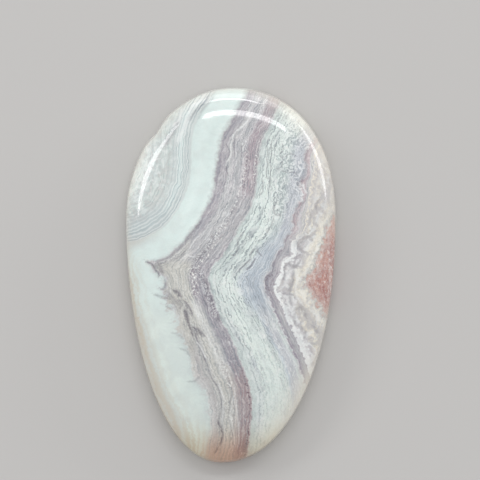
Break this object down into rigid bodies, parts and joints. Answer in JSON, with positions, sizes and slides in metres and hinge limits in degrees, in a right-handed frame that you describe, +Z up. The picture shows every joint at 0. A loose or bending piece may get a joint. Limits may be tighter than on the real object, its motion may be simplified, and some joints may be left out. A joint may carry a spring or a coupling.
{
  "type": "chalcedony cabochon",
  "caption": "Free-form egg-shaped cabochon of banded lavender and pale blue chalcedony, with a polished dome, a short wall and a flat back for setting.",
  "frame": {"origin": "middle of the flat back, at the middle of the outline's bounding box", "axes": "+Z up out of the dome, square to the flat back; +Y along the stone towards its broad end; +X across it to the right as seen from the front"},
  "size_m": [0.0258, 0.046, 0.006],
  "materials": {
    "chalcedony": "high polish, banded pale blue, white, lavender grey and mauve, slightly translucent"
  },
  "bodies": {
    "root": {"cabochon": "chalcedony"}
  },
  "joints": []
}
